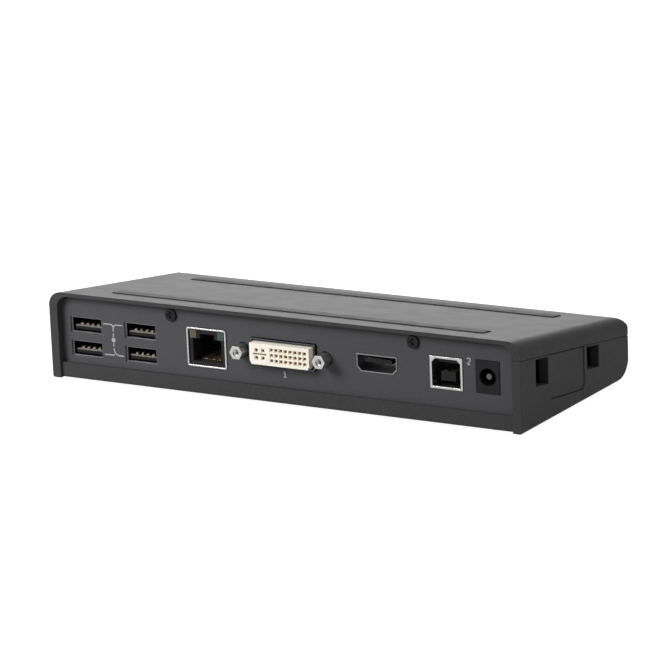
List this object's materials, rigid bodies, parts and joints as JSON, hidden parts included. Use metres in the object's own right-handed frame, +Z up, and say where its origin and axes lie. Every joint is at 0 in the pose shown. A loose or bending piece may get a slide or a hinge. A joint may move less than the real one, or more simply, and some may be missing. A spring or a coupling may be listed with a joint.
{
  "type": "laptop docking station",
  "caption": "Low wedge-shaped desktop dock with a sloping top, a recessed rear panel of data, video, network and power sockets, and a small front fascia with a power button.",
  "frame": {"origin": "centre of the bounding box on the surface the rubber feet stand on", "axes": "+X across the case towards the USB-A end, the longest extent; +Y out of the rear sockets; +Z up, the shortest extent"},
  "size_m": [0.19, 0.0834, 0.0327],
  "materials": {
    "case_plastic": "fine matte moulding",
    "panel_plastic": "fine matte moulding",
    "gloss_black": "gloss",
    "rubber_grey": "matte rubber",
    "rubber_black": "matte rubber",
    "board_green": "solder mask",
    "chip_black": "moulded resin",
    "heat_sink_metal": "extruded",
    "can_metal": "drawn can",
    "plated_steel": "tin plated",
    "socket_plastic": "moulded",
    "contact_metal": "gold plated",
    "nickel": "nickel plated",
    "window_green": "translucent green",
    "gold": "gold plated",
    "ivory_plastic": "moulded",
    "button_plastic": "gloss",
    "light_pipe": "clear pipe",
    "black_steel": "black oxide"
  },
  "bodies": {
    "case": {"board_screws": "black_steel", "bottom_tray": "case_plastic", "capacitors": "can_metal", "case_screws": "black_steel", "dc_jack_body": "socket_plastic", "dc_jack_pin": "nickel", "display_chip": "chip_black", "dvi_contacts": "gold", "dvi_housing": "socket_plastic", "dvi_insert": "ivory_plastic", "dvi_jackscrews": "nickel", "dvi_shell": "nickel", "front_fascia": "gloss_black", "front_usb_left_insulator": "socket_plastic", "front_usb_left_shell": "plated_steel", "front_usb_right_insulator": "socket_plastic", "front_usb_right_shell": "plated_steel", "grip_strip_front": "rubber_grey", "grip_strip_rear": "rubber_grey", "hdmi_riser": "socket_plastic", "hdmi_shell": "plated_steel", "hdmi_tongue": "socket_plastic", "headphone_jack": "socket_plastic", "heat_sink": "heat_sink_metal", "hub_chip": "chip_black", "main_board": "board_green", "microphone_jack": "socket_plastic", "network_body": "socket_plastic", "network_contacts": "gold", "network_shield": "nickel", "network_transformer": "chip_black", "network_windows": "window_green", "panel_screws": "black_steel", "power_light_pipe": "light_pipe", "rear_panel": "panel_plastic", "rubber_foot_front_left": "rubber_black", "rubber_foot_front_right": "rubber_black", "rubber_foot_rear_left": "rubber_black", "rubber_foot_rear_right": "rubber_black", "side_insert_left": "case_plastic", "side_insert_right": "case_plastic", "tact_switch": "socket_plastic", "top_cover": "case_plastic", "usb_b_insulator": "socket_plastic", "usb_b_riser": "socket_plastic", "usb_b_shell": "plated_steel", "usb_stack_left_contacts": "contact_metal", "usb_stack_left_insulator": "socket_plastic", "usb_stack_left_shell": "plated_steel", "usb_stack_right_contacts": "contact_metal", "usb_stack_right_insulator": "socket_plastic", "usb_stack_right_shell": "plated_steel"},
    "button": {"power_button": "button_plastic", "switch_plunger": "button_plastic"}
  },
  "joints": [
    {"name": "power_button_press", "type": "slide", "parent": "case", "child": "button", "axis": [0, 1, 0], "range_m": [0, 0.0004], "stiffness_N_per_m": 400, "springref_m": -0.0004}
  ]
}
